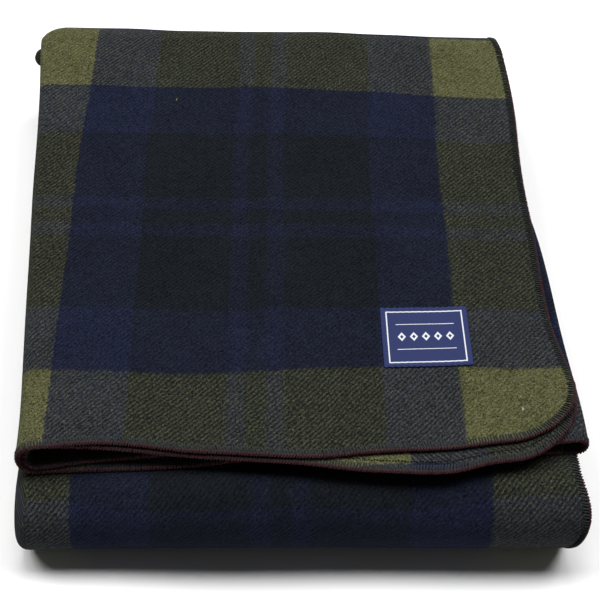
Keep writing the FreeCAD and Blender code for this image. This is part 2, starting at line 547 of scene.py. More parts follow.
@dataclass(frozen=True)
class PlaidWool(Finish):
    """Felted wool twill in an olive, navy and black-green plaid.

    The sett runs both ways. Each coordinate's band gives how olive its yarn is and how navy;
    where only one of the two yarns is olive, the twill's slanting ribs show both.
    """

    warp_square: float = 0.2320
    weft_square: float = 0.2344
    warp_olive_end: float = 0.0520
    weft_olive_end: float = 0.0590
    olive: tuple = (0.083, 0.084, 0.037)
    navy: tuple = (0.0090, 0.0120, 0.0300)
    dark: tuple = (0.0065, 0.0085, 0.0120)
    rib: float = 0.0023

    def bands(self, n: Nodes, along: Value, square: float, olive_end: float) -> tuple[Value, Value]:
        """How olive and how navy the yarn is at a place across the sett.

        Args:
            n: The node tree.
            along: The coordinate across the bands, metres.
            square: The sett's unit, the distance between two olive bands, metres.
            olive_end: Where an olive band ends and a navy one starts, metres.

        Returns:
            The olive share and the navy share, 0 to 1.
        """
        widths = [("olive", 0.27), ("navy", 0.19), ("dark", 0.24), ("thin", 0.045),
                  ("dark", 0.05), ("thin", 0.045), ("dark", 0.24), ("navy", 0.19)]
        period = sum(w for _, w in widths)
        code = {"olive": (1, 0, 0), "navy": (0, 1, 0), "dark": (0, 0, 0), "thin": (0, 0.75, 0)}
        edge = 0.0035 / period
        stops, place = [], 0.0
        for k, (name, width) in enumerate(widths):
            if k:
                stops.append((place / period - edge, code[widths[k - 1][0]]))
                stops.append((place / period + edge, code[name]))
            else:
                stops.append((0.0, code[name]))
            place += width
        stops.append((1.0 - edge, code[widths[-1][0]]))
        start = olive_end - widths[0][1] * square
        across = ((along - start) / (square * period)) % 1.0
        ramp = n.add("ShaderNodeValToRGB", {"stops": stops}, {0: across})
        olive, navy, _ = n.parts(ramp)
        return olive, navy

    def twill(self, n: Nodes, weave: Value, u: Value, v: Value) -> tuple[Value, Value]:
        """The slanting ribs, sin of u + v, and which yarn floats over them here and there.

        Args:
            n: The node tree.
            weave: Flat coordinates of the cloth.
            u: Flat coordinate across the width, metres.
            v: Flat coordinate along the length, metres.

        Returns:
            The rib's height and the share of the floating yarn, both 0 to 1.
        """
        wobble = (n.noise(weave, 75, 3, 0.6) - 0.5) * 5.0
        slant = (u + v) * (2 * math.pi / self.rib / math.sqrt(2)) + wobble
        rib = slant.sine() * 0.5 + 0.5
        floats = n.noise(n.vector((u + v) * 1.6, (v - u) * 0.7), 520, 3, 0.65)
        return rib, (rib * 0.70 + (floats - 0.5) * 4.6 + 0.02).clamped()

    def flecked(self, n: Nodes, u: Value, v: Value, colour: Value) -> Value:
        """Puts a few small specks of lint on a colour: one cell of the pattern in five has one.

        Args:
            n: The node tree.
            u: Flat coordinate across the width, metres.
            v: Flat coordinate along the length, metres.
            colour: The wool's colour.

        Returns:
            The flecked colour.
        """
        cell = {"Vector": n.vector(u, v * 0.45 + u * 0.3), "Scale": 62.0, "Randomness": 1.0}
        spots, pick = (n.add("ShaderNodeTexVoronoi", {"feature": "F1"}, cell, output)
                       for output in ("Distance", "Color"))
        chance, tint, _ = n.parts(pick)
        lint = (1.0 - spots.step(0.015, 0.05)) * chance.step(0.80, 0.81)
        fleck = n.mix(tint.step(0.4, 0.6), (0.50, 0.50, 0.42), (0.26, 0.22, 0.07))
        return n.mix(lint * 0.8, colour, fleck)

    def build(self) -> bpy.types.Material:
        """Makes the material.

        Returns:
            The finished material.
        """
        n = Nodes("plaid_wool")
        weave, plaid = n.uv("weave"), n.uv("plaid")
        u, v, _ = n.parts(weave)
        fray = n.noise(weave, 420, 3, 0.7) - 0.5
        p, q, _ = n.parts(plaid)
        warp = self.bands(n, p + fray * 0.005, self.warp_square, self.warp_olive_end)
        weft = self.bands(n, q + fray * 0.005, self.weft_square, self.weft_olive_end)

        rib, thread = self.twill(n, weave, u, v)
        both = warp[0] * weft[0]
        one = warp[0] + weft[0] - both * 2
        share = (both + one * (0.04 + thread * 0.50)).clamped()
        plain_warp, plain_weft = 1.001 - warp[0], 1.001 - weft[0]
        navy = (warp[1] * plain_warp + weft[1] * plain_weft) / (plain_warp + plain_weft)
        ground = n.mix(navy.clamped(), self.dark, self.navy)
        colour = n.mix(share, ground, self.olive)

        felt = n.noise(weave, 1900, 3, 0.7, 0.6) - 0.5
        grain = n.noise(weave, 900, 3, 0.7, 0.8) - 0.5
        tuft = n.noise(weave, 230, 3, 0.6, 1.2) - 0.5
        cloud = n.noise(weave, 24, 3, 0.55) - 0.5
        # Random tone of the felt and yarn, plus painted shade of the twill ribs: the colour darkens
        # in the grooves between the ribs and lightens on their crests.
        tone_and_rib_shade = felt * 2.6 + grain * 5.0 + tuft * 1.4 + cloud * 0.6 + (rib - 0.5) * 0.20
        colour = n.scaled(colour, (tone_and_rib_shade + 1.0).most(0.25))

        colour = self.flecked(n, u, v, colour)
        height = felt * 0.35 + grain * 0.8 + tuft * 0.5 + rib * 0.28
        normal = n.bump(height, 0.0016, 0.9)
        rough = 0.90 + felt * 0.2
        return n.finish(colour, rough, normal, sheen=0.012, sheen_rough=0.7)


@dataclass(frozen=True)
class Yarn(Finish):
    """Matt spun yarn with fine light and dark fibres."""

    name: str
    colour: tuple
    lightest: tuple
    scale: float = 1300.0

    def build(self) -> bpy.types.Material:
        """Makes the material.

        Returns:
            The finished material.
        """
        n = Nodes(self.name)
        at = n.coordinates()
        fibre = n.noise(at, self.scale, 3, 0.7, 0.4)
        patch = n.noise(at, self.scale / 14, 2, 0.5)
        colour = n.mix((fibre * 0.8 + patch * 0.7 - 0.45).clamped(), self.colour, self.lightest)
        normal = n.bump(fibre, 0.0004, 0.8)
        return n.finish(colour, 0.84 + fibre * 0.14, normal, sheen=0.10)


# ---------------------------------------------------------------- the folded cloth


@dataclass
class FoldPlan:
    """Sizes of the blanket and of its fold, metres, and the path of the flat roll."""

    flat_width: float = 1.300
    flat_length: float = 1.900
    cloth: float = 0.0030
    corner: float = 0.040
    layer_gap: float = 0.0004
    section_gap: float = 0.0010
    outer_end_setback: float = 0.005
    inner_end_setback: float = 0.003
    pitch: float = field(init=False)
    legs: list = field(init=False)
    starts: Array = field(init=False)

    def __post_init__(self) -> None:
        """Works out the nine legs of the roll: straight runs and half-turn bends in turn."""
        self.pitch = self.cloth + self.layer_gap
        strip = 4 * self.cloth + 3 * self.layer_gap
        step = strip + self.section_gap
        second, fourth, fifth, third, first = (strip / 2 + k * step for k in range(5))
        y_back = CAD_HIGH.y - (first - second) / 2 - strip / 2
        y_front = CAD_LOW.y + (third - second) / 2 + strip / 2
        y_end = y_front + self.outer_end_setback
        y_stop = y_back - self.inner_end_setback
        turns = [(first, second, y_back), (second, third, y_front), (third, fourth, y_back),
                 (fourth, fifth, y_front)]
        self.legs = []
        out, y = 1, y_end
        for z_from, z_to, y_turn in turns:
            self.legs.append(("run", y, z_from, out, abs(y_turn - y)))
            radius = abs(z_from - z_to) / 2
            self.legs.append(("bend", y_turn, (z_from + z_to) / 2, out, math.pi * radius))
            out, y = -out, y_turn
        self.legs.append(("run", y, fifth, out, abs(y_stop - y)))
        lengths = [leg[4] for leg in self.legs]
        self.starts = np.concatenate([[0.0], np.cumsum(lengths)])
        self.top_bottom = first - strip / 2

    @property
    def length(self) -> float:
        """Length of the roll's mid line."""
        return float(self.starts[-1])

    def leg_number(self, v: Array) -> Array:
        """Place along the roll counted in legs: 0 at the outer end, 1 after the first run."""
        return np.interp(v, self.starts, np.arange(len(self.starts)))

    def at_leg(self, number: float | Array) -> Array:
        """Length along the roll at a leg number."""
        return np.interp(number, np.arange(len(self.starts)), self.starts)

    def line(self, v: Array) -> tuple[Array, Array, Array, Array, Array]:
        """The roll's mid line.

        A run goes straight along Y; a bend turns about its centre, its outward direction
        swinging from (0, out) by the angle turned, so that it is out * (sin a, cos a).

        Args:
            v: Length along the roll from the outer end, metres.

        Returns:
            y and z of the mid line, y and z of its outward direction, and the angle turned.
        """
        y, z, ny, nz, turned = (np.zeros_like(v) for _ in range(5))
        total = 0.0
        for (kind, y0, z0, out, length), start in zip(self.legs, self.starts):
            here = (v >= start) if start > 0 else np.full(v.shape, True)
            d = v[here] - start
            if kind == "run":
                y[here], z[here] = y0 + out * d, z0
                ny[here], nz[here] = 0.0, out
                turned[here] = total
            else:
                radius = length / math.pi
                a = np.minimum(d / radius, math.pi)
                ny[here], nz[here] = out * np.sin(a), out * np.cos(a)
                y[here], z[here] = y0 + radius * ny[here], z0 + radius * nz[here]
                turned[here] = total + a
                total += math.pi
        return y, z, ny, nz, turned


@dataclass
class FoldedCloth:
    """The cloth itself: a nested quarter fold across the width, carried round the flat roll.

    The courses left, right and side_a say where the folds and a side edge run, as (leg number,
    x in mm), and side_b_lag how far the other side edge stays behind. The four end lines say how
    far each layer's end lies behind or before the plan's end, as (x in mm, shift in mm), and the
    gapes how the folds open at the outer end. Front and back line are where the plaid's bands
    cross the top, as (x in mm, y in mm). A span is where a smooth change starts and how long it
    takes: in metres, in legs of the roll or, for roll_bow_sides, in mm.
    """

    plan: FoldPlan
    left: list = field(default_factory=lambda: [
        (0.0, -149.0), (0.12, -150.0), (0.46, -158.0), (0.72, -163.5), (0.97, -172.5),
        (1.04, -173.5), (1.24, -162.0), (1.5, -156.0), (3.0, -151.0), (4.0, -150.0),
        (4.5, -152.0), (4.78, -160.0), (5.1, -180.5), (5.3, -176.0), (5.8, -158.0), (6.5, -150.0),
        (9.0, -148.0)])
    side_a: list = field(default_factory=lambda: [
        (0.0, 163.0), (0.12, 161.5), (0.27, 154.0), (0.55, 151.0), (0.8, 151.0), (1.12, 146.5),
        (2.0, 148.0), (2.8, 159.0), (3.3, 161.0), (3.7, 166.0), (3.95, 162.0), (4.4, 154.5),
        (5.2, 145.0), (5.8, 147.0), (7.0, 155.0), (9.0, 146.0)])
    right: list = field(default_factory=lambda: [
        (0.0, 167.0), (0.31, 161.0), (0.5, 156.5), (0.65, 150.5), (1.0, 142.5), (1.3, 143.0),
        (2.0, 148.0), (3.0, 160.0), (4.0, 160.5), (4.3, 158.0), (4.8, 147.5), (5.2, 145.0),
        (5.8, 148.0), (7.0, 158.0), (9.0, 147.0)])
    side_b_lag: list = field(default_factory=lambda: [
        (0.0, -0.5), (0.12, 0.3), (0.22, 3.0), (0.4, 5.0), (1.0, 6.0), (3.0, 3.0), (9.0, 3.0)])
    end_top: list = field(default_factory=lambda: [
        (-141.0, 7.0), (-99.0, 10.5), (-45.0, 5.5), (15.0, 0.5), (45.0, 4.5), (90.0, 8.0),
        (134.0, 14.0), (163.0, 12.0)])
    end_second: list = field(default_factory=lambda: [
        (-141.0, 9.5), (-90.0, 8.5), (0.0, -1.0), (60.0, -5.5), (90.0, -5.0), (115.0, 1.5),
        (163.0, 5.5)])
    end_third: list = field(default_factory=lambda: [
        (-141.0, 4.0), (-105.0, 7.5), (0.0, 12.0), (110.0, 13.0), (165.0, 14.5)])
    end_bottom: list = field(default_factory=lambda: [
        (-141.0, 3.4), (-60.0, 4.0), (30.0, 8.0), (110.0, 10.0), (165.0, 12.5)])
    end_reach: float = 0.150
    front_line: list = field(default_factory=lambda: [
        (-147.0, -107.5), (-48.0, -110.5), (25.0, -108.0), (88.0, -104.0), (133.0, -107.5)])
    back_line: list = field(default_factory=lambda: [
        (-147.0, 132.0), (-120.0, 129.5), (-19.0, 129.5), (29.0, 125.0), (103.0, 120.5),
        (156.0, 118.0)])
    back_skew: float = 0.0140
    back_skew_right: float = 0.0035
    roll_tuck: float = 0.0055
    pattern_zero: list = field(default_factory=lambda: [
        (0.0, 151.0), (1.0, 151.0), (3.0, 165.0), (4.0, 165.0), (9.0, 156.0)])
    second_layer_ahead: float = 0.042
    roll_navy_end: float = 0.9967
    roll_navy_turn: float = 136.0
    left_gape: float = 0.0090
    left_gape_width: float = 0.120
    left_gape_depth: float = 0.085
    right_gape: float = 0.0060
    right_gape_width: float = 0.034
    right_gape_depth: float = 0.050
    sag: float = 0.0011
    waver_x: float = 0.0010
    waver_y: float = 0.0012
    gape_up: float = 0.55
    gape_down: float = 0.45
    gape_fold: float = 0.05
    tuck_from: float = -0.135
    tuck_over: float = 0.045
    lean_span: tuple = (0.020, 0.150)
    lean_fades: tuple = (1.0, 0.8)
    bow_fades: tuple = (1.4, 0.8)
    pattern_drawn: tuple = (1.5, 1.6)
    roll_bow: float = 0.0077
    roll_bow_sides: tuple = (80.0, 50.0)
    roll_bow_starts: tuple = (2.6, 0.6)

    def widths(self, v: Array) -> dict[str, Array]:
        """Where the side edges and folds run at each length along the roll, metres in x.

        The two courses of folds give the folds' outer faces; their centres lie inside by the
        fold's radius and half the cloth.

        Args:
            v: Length along the roll, metres.

        Returns:
            By name: side edges a and b, fold centres left and right, gape_l and gape_r.
        """
        number, p, half = self.plan.leg_number(v), self.plan.pitch, self.plan.cloth / 2
        a = through(self.side_a, number) * MM
        gape_l, gape_r = self.gapes(v)
        return {
            "a": a,
            "b": a - through(self.side_b_lag, number) * MM,
            "left": through(self.left, number) * MM + 1.5 * p + half + gape_l / 2,
            "right": through(self.right, number) * MM - 0.5 * p - half - gape_r / 2,
            "gape_l": gape_l,
            "gape_r": gape_r,
        }

    def gapes(self, v: Array) -> tuple[Array, Array]:
        """How far the folds spring open: depth * exp(-(v / reach)^2) from the outer end.

        Args:
            v: Length along the roll, metres.

        Returns:
            The left and the right opening, metres.
        """
        return (self.left_gape * np.exp(-((v / self.left_gape_depth) ** 2)),
                self.right_gape * np.exp(-((v / self.right_gape_depth) ** 2)))

    def stretches(self, w: dict[str, Array]) -> tuple[list[Array], list[Array]]:
        """The serpentine's seven stretches: their lengths in space, and cloth width up to each.

        Top layer, left outer fold, bottom layer, right fold, third layer, left inner fold and
        second layer. The hidden stretches share what the flat width leaves.

        Args:
            w: The side edges and folds, as widths gives them.

        Returns:
            The seven lengths in space, and the eight flat widths where stretches meet.
        """
        p = self.plan.pitch
        top = w["a"] - w["left"]
        run = w["right"] - w["left"]
        outer = math.pi * (1.5 * p + w["gape_l"] / 2)
        inner = math.pi * (0.5 * p + w["gape_l"] / 2)
        tight = math.pi * (0.5 * p + w["gape_r"] / 2)
        lengths = [top, outer, run, tight, run, inner, w["b"] - w["left"]]
        hidden = sum(lengths[2:])
        left_over = (self.plan.flat_width - top - outer) / hidden
        cloth = [top, outer] + [x * left_over for x in lengths[2:]]
        upto = [np.zeros_like(top)]
        for x in cloth:
            upto.append(upto[-1] + x)
        return lengths, upto

    def cloth_width_at(self, station: Array, v: Array) -> Array:
        """Flat coordinate u at stations.

        Args:
            station: Whole part: the stretch. Fraction: how far along it.
            v: Length along the roll, metres.

        Returns:
            Flat coordinates across the width, metres.
        """
        _, upto = self.stretches(self.widths(v))
        k = np.clip(np.floor(station), 0, 6)
        u = np.zeros_like(v)
        for stretch in range(7):
            here = k == stretch
            share = station - stretch
            u = np.where(here, upto[stretch] + share * (upto[stretch + 1] - upto[stretch]), u)
        return u

    def place(self, u: Array, v: Array) -> Array:
        """Where points of the cloth are in the folded blanket, (..., 3), metres."""
        return self.laid(u, v)[0]

    def laid(self, u: Array, v: Array) -> tuple[Array, Array, Array]:
        """Where a point of the cloth is in the folded blanket, and how far it was moved in y.

        The layer that holds u gives x and the distance n out of the strip, along the strip's
        serpentine; the roll's mid line at v gives y and z, plus n along its outward direction.
        Then the ends are shifted, the folds gape, and the whole stack sags a little.

        Args:
            u: Flat coordinate across the width, metres.
            v: Length along the roll, metres.

        Returns:
            Places, (..., 3), the shift of the layer's end and the stack's lean back, metres.
        """
        p, half_turn = self.plan.pitch, math.pi
        w = self.widths(v)
        _, upto = self.stretches(w)
        gl, gr = w["gape_l"], w["gape_r"]
        x, n, shift, drop = (np.zeros_like(v) for _ in range(4))
        ends = [self.end_top, self.end_bottom, self.end_third, self.end_second]

        def end(which: int, at: Array) -> Array:
            """One layer's end shift at x."""
            return through(ends[which], at / MM) * MM

        def opening(at: Array) -> Array:
            """The left gape's share at x: 1 at the fold, 0 past its width."""
            return 1 - smooth((at - w["left"]) / self.left_gape_width)

        def lifted(at: Array) -> Array:
            """The right gape's share at x: 1 at the fold, 0 past its width."""
            return 1 - smooth((w["right"] - at) / self.right_gape_width)

        for k in range(7):
            t = np.clip((u - upto[k]) / (upto[k + 1] - upto[k]), 0, 1)
            here = (u >= upto[k]) if k else np.full(v.shape, True)
            if k in (0, 6):
                edge = w["a"] if k == 0 else w["b"]
                xk = edge + (w["left"] - edge) * (t if k == 0 else 1 - t)
                nk = (1.5 if k == 0 else 0.5) * p + lifted(xk) * gr * self.gape_up
                ek = end(0 if k == 0 else 3, xk)
            elif k in (2, 4):
                xk = w["left"] + (w["right"] - w["left"]) * (t if k == 2 else 1 - t)
                nk = (-1.5 if k == 2 else -0.5) * p - opening(xk) * gl
                nk = nk + lifted(xk) * gr * (-self.gape_down if k == 2 else self.gape_up)
                ek = end(1 if k == 2 else 2, xk)
            elif k in (1, 5):
                radius = (1.5 if k == 1 else 0.5) * p + gl / 2
                turn = half_turn * (t if k == 1 else 1 - t)
                xk = w["left"] - radius * np.sin(turn)
                nk = radius * np.cos(turn) - gl / 2
                first, last = (0, 1) if k == 1 else (3, 2)
                ek = end(first, w["left"]) * np.cos(turn / 2) ** 2
                ek = ek + end(last, w["left"]) * np.sin(turn / 2) ** 2
            else:
                radius = 0.5 * p + gr / 2
                turn = half_turn * t
                xk = w["right"] + radius * np.sin(turn)
                nk = -p - radius * np.cos(turn) + gr * self.gape_fold
                ek = end(1, w["right"]) * np.cos(turn / 2) ** 2
                ek = ek + end(2, w["right"]) * np.sin(turn / 2) ** 2
            x, n, shift = (np.where(here, new, old)
                           for new, old in ((xk, x), (nk, n), (ek, shift)))

        y, z, ny, nz, _ = self.plan.line(v)
        end_shift = shift * (1 - smooth(v / self.end_reach))
        places, lean = self.settled(x, y + n * ny + end_shift, z + n * nz, v)
        return places, end_shift, lean

    def settled(self, x: Array, y: Array, z: Array, v: Array) -> tuple[Array, Array]:
        """The soft unevenness of the whole stack, the same for every layer at one place.

        Below the gaping fold the stack is pressed down in proportion to its height. The top
        undulates by sag times a slow ripple, growing with height from nothing at the floor.

        Args:
            x: Even place across the width, metres.
            y: Even place from front to back, metres.
            z: Even height, metres.
            v: Length along the roll, metres.

        Returns:
            Places, (..., 3), and how far the stack leans back there, metres.
        """
        left = float(through(self.left, np.array(0.0))) * MM
        near = 1 - smooth((x - left) / self.left_gape_width)
        depth = (y - self.plan.legs[0][1]) / self.left_gape_depth
        press = self.left_gape * near * np.exp(-(np.maximum(depth, 0) ** 2))
        below = v > self.plan.starts[1]
        z = np.where(below, z * (1 - press / self.plan.top_bottom), z)
        tuck = smooth((self.tuck_from - y) / self.tuck_over)
        y = np.where(below, y + self.roll_tuck * tuck, y)
        across = np.clip((x - CAD_LOW.x) / (CAD_HIGH.x - CAD_LOW.x), 0, 1)
        skew = self.back_skew + (self.back_skew_right - self.back_skew) * across
        lean = skew * eased(y, self.lean_span)
        y = y + lean
        height = z / CAD_HIGH.z
        z = z + self.sag * height * (ripple(x, y, 0.16, 11) + 0.5 * ripple(x, y, 0.07, 12))
        y = y + self.waver_y * height * ripple(x, z, 0.13, 13)
        x = x + self.waver_x * ripple(y, z, 0.11, 14) * height
        return np.stack([x, y, z], -1), lean

    def frame_at(self, u: Array, v: Array) -> tuple[Array, Array, Array, Array]:
        """Place on the cloth with its directions, from differences over a short step.

        Args:
            u: Flat coordinate across the width, metres.
            v: Length along the roll, metres.

        Returns:
            Places, and unit vectors along u, along v and out of the face side.
        """
        step = 0.0004
        here = self.place(u, v)
        du = unit(self.place(u + step, v) - self.place(u - step, v))
        dv = unit(self.place(u, v + step) - self.place(u, v - step))
        return here, du, dv, unit(np.cross(dv, du))

    def true_length(self, u: Array, v: Array) -> Array:
        """Cloth length at v: v plus the layer's distance from the mid line times the turn.

        Args:
            u: Flat coordinate across the width, which says the layer.
            v: Length along the roll's mid line, metres.

        Returns:
            Lengths along the cloth, metres.
        """
        p, w = self.plan.pitch, self.widths(v)
        _, upto = self.stretches(w)
        knots = [1.5, 1.5, -1.5, -1.5, -0.5, -0.5, 0.5, 0.5]
        level = np.zeros_like(v)
        for k in range(7):
            t = np.clip((u - upto[k]) / (upto[k + 1] - upto[k]), 0, 1)
            here = (u >= upto[k]) if k else np.full(v.shape, True)
            level = np.where(here, knots[k] + t * (knots[k + 1] - knots[k]), level)
        return v + level * p * self.plan.line(v)[4]

    def printed(self, u: Array, v: Array, front: float, unit_square: float) -> tuple[Array, Array]:
        """The plaid's own coordinates: how its bands run on the folded cloth.

        Along the width the bands run straight in x on the top section, whatever the side edge
        does. Along the length they bow a little, between a front and a back line. Under the
        roll, out of sight, the squares are drawn out so that the roll's front shows the right
        part of the sett, and so they are across the two hidden layers.

        Args:
            u: Flat coordinate across the width, metres.
            v: Length along the roll, metres.
            front: Plaid coordinate of the top section's front line, metres.
            unit_square: Distance between the front and the back line, metres.

        Returns:
            The plaid coordinates across and along, metres.
        """
        number = self.plan.leg_number(v)
        places, end_shift, lean = self.laid(u, v)
        x = places[..., 0] / MM
        w = self.widths(v)
        _, upto = self.stretches(w)
        hidden = (u - upto[2]) / (upto[5] - upto[2])
        across = u + through(self.pattern_zero, number) * MM - w["a"]
        across = across + self.second_layer_ahead * smooth(hidden)
        along = self.true_length(u, v) + end_shift
        along = along + lean * (1 - eased(number, self.lean_fades))
        front_y = front + self.plan.legs[0][1]
        bow_front = front_y - through(self.front_line, x) * MM
        bow_back = front_y + unit_square - through(self.back_line, x) * MM
        t = np.clip((along - front) / unit_square, 0, 1)
        bow = (bow_front + (bow_back - bow_front) * t) * (1 - eased(number, self.bow_fades))
        mark = self.plan.at_leg(3 + self.roll_navy_turn / 180)
        seen = self.true_length(np.array([0.1]), np.array([mark]))[0]
        pull = (self.roll_navy_end - seen) * eased(number, self.pattern_drawn)
        sides = self.roll_bow * eased(np.abs(x), self.roll_bow_sides)
        sides = sides * eased(number, self.roll_bow_starts)
        return across, along + bow + pull - sides

    def on_top(self, x: Array, y: Array) -> tuple[Array, Array]:
        """Flat coordinates of points of the top layer, by a few steps of correction.

        Args:
            x: Wanted x, metres.
            y: Wanted y, metres.

        Returns:
            u and v whose places have that x and y.
        """
        v = y - self.plan.legs[0][1]
        u = self.widths(v)["a"] - x
        for _ in range(6):
            here = self.place(u, v)
            u = u + here[..., 0] - x
            v = v + y - here[..., 1]
        return u, v


@dataclass
class Outline:
    """The blanket's rim in flat coordinates: a rectangle with rounded corners."""

    width: float
    length: float
    corner: float

    def start_row(self, u: Array) -> Array:
        """How far the rounded corners set columns in from the end: r - sqrt(r^2 - lack^2).

        Args:
            u: Flat coordinate across the width, metres.

        Returns:
            Distances from the end, metres.
        """
        near = np.minimum(u, self.width - u)
        lack = np.maximum(self.corner - near, 0)
        return self.corner - np.sqrt(np.maximum(self.corner**2 - lack**2, 0))

    def inset(self, u: Array, v: Array) -> Array:
        """Distance in from the rim, measured to the arc at the rounded corners.

        Args:
            u: Flat coordinate across the width, metres.
            v: Flat coordinate along the length, metres.

        Returns:
            Distances, metres.
        """
        a = np.minimum(u, self.width - u)
        b = np.minimum(v, self.length - v)
        r = self.corner
        round_in = r - np.hypot(np.maximum(r - a, 0), np.maximum(r - b, 0))
        return np.where((a < r) & (b < r), round_in, np.minimum(a, b))

    def stretch(self, name: str, count: int) -> tuple[Array, Array, Array, Array]:
        """Points along one named part of the rim, with the inward direction.

        Args:
            name: side_a, side_b, outer_end or inner_end; the ends hold their two corners.
            count: Number of points.

        Returns:
            u, v and the inward direction's parts along u and v.
        """
        r, w, h = self.corner, self.width, self.length
        t = np.linspace(0, 1, count)
        if name in ("side_a", "side_b"):
            v = r + t * (h - 2 * r)
            first = name == "side_a"
            u = np.full(count, 0.0 if first else w)
            return u, v, np.full(count, 1.0 if first else -1.0), np.zeros(count)
        quarter = r * math.pi / 2
        total = w - 2 * r + 2 * quarter
        s = t * total
        a1 = np.clip(s / quarter, 0, 1) * math.pi / 2
        a2 = np.clip((s - quarter - (w - 2 * r)) / quarter, 0, 1) * math.pi / 2
        middle = np.clip(s - quarter, 0, w - 2 * r)
        angle = a1 + a2
        iu, iv = np.cos(angle), np.sin(angle)
        u = r + middle - r * iu
        v = r - r * iv
        if name == "inner_end":
            v, iv = h - v, -iv
        return u, v, iu, iv


@dataclass
class ClothSheet:
    """The mesh of the cloth, laid out on a grid of stations and rows."""

    cloth: FoldedCloth
    finish: PlaidWool
    rim_thin: float = 0.74
    rim_width: float = 0.0052
    rows_by_leg: tuple = (44, 26, 26, 30, 28, 20, 24, 16, 22)
    end_rows: tuple = (0.0, 0.0012, 0.0028, 0.0048, 0.0070)
    ends_clear: float = 0.009

    def stations(self) -> Array:
        """Column stations along the serpentine, closer in the folds and at the side edges.

        Returns:
            Rising station numbers, 0 to 7.
        """
        edge = 1 - np.cos(np.linspace(0, math.pi / 2, 10))
        edge_share = 0.131 * edge
        top = np.concatenate([edge_share, np.linspace(0.131, 0.955, 27)[1:], [0.98]])
        lower = np.linspace(0, 1, 23)[:-1]
        fold = np.linspace(0, 1, 13)[:-1]
        tight = np.linspace(0, 1, 11)[:-1]
        second = 1 - np.concatenate([edge_share, np.linspace(0.131, 0.97, 18)[1:]])[::-1]
        parts = [top, 1 + fold, 2 + lower, 3 + tight, 4 + lower, 5 + tight, 6 + second]
        return np.concatenate([*parts[:-1], [6.0], parts[-1]])

    def rows(self) -> Array:
        """Row places along the roll, closer in the bends and at both ends.

        Returns:
            Lengths along the roll, metres.
        """
        plan = self.cloth.plan
        numbers = [k + np.linspace(0, 1, count, endpoint=False)
                   for k, count in enumerate(self.rows_by_leg)]
        v = plan.at_leg(np.concatenate(numbers))
        ends = np.array(self.end_rows)
        v = v[(v > self.ends_clear) & (v < plan.length - self.ends_clear)]
        return np.concatenate([ends, v, plan.length - ends[::-1]])

    def build(self) -> bpy.types.Object:
        """Makes the sheet, its two UV maps and its thickness.

        Returns:
            The cloth's object.
        """
        plan, cloth = self.cloth.plan, self.cloth
        station, row = self.stations(), self.rows()
        s, v = np.meshgrid(station, row)
        outline = Outline(plan.flat_width, plan.length, plan.corner)
        u = cloth.cloth_width_at(s, v)
        fade = 4 * plan.corner
        lead = outline.start_row(u)
        v = (v + lead * np.clip(1 - v / fade, 0, 1)
             - lead * np.clip(1 - (plan.length - v) / fade, 0, 1))
        u = cloth.cloth_width_at(s, v)
        verts = cloth.place(u, v).reshape(-1, 3)
        faces = grid_faces(len(row), len(station))[:, ::-1]
        piece = mesh_object("blanket", verts, faces, self.finish)

        self.give_uv(piece, "weave", u, cloth.true_length(u, v))
        printed = cloth.printed(u, v, self.finish.weft_olive_end, self.finish.weft_square)
        self.give_uv(piece, "plaid", *printed)
        inset = outline.inset(u, v).ravel()
        thin = self.rim_thin + (1 - self.rim_thin) * smooth(inset / self.rim_width)
        group = piece.vertex_groups.new(name="thickness")
        for level in np.unique(np.round(thin, 2)):
            chosen = np.flatnonzero(np.round(thin, 2) == level)
            group.add(chosen.tolist(), float(level), "REPLACE")
        solid = piece.modifiers.new("thickness", "SOLIDIFY")
        solid.thickness = plan.cloth - 0.00015
        solid.offset = 0.0
        solid.vertex_group = group.name
        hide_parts("blanket_cloth")
        return piece

    @staticmethod
    def give_uv(piece: bpy.types.Object, name: str, u: Array, v: Array) -> None:
        """Writes one UV map from values at the vertices.

        Args:
            piece: The piece.
            name: The map's name.
            u: First coordinate at each vertex.
            v: Second coordinate at each vertex.
        """
        layer = piece.data.uv_layers.new(name=name)
        loops = np.zeros(len(piece.data.loops), np.int32)
        piece.data.loops.foreach_get("vertex_index", loops)
        uv = np.stack([u.ravel(), v.ravel()], -1)[loops]
        layer.data.foreach_set("uv", uv.astype(np.float32).ravel())


# ---------------------------------------------------------------- the overlocked edge


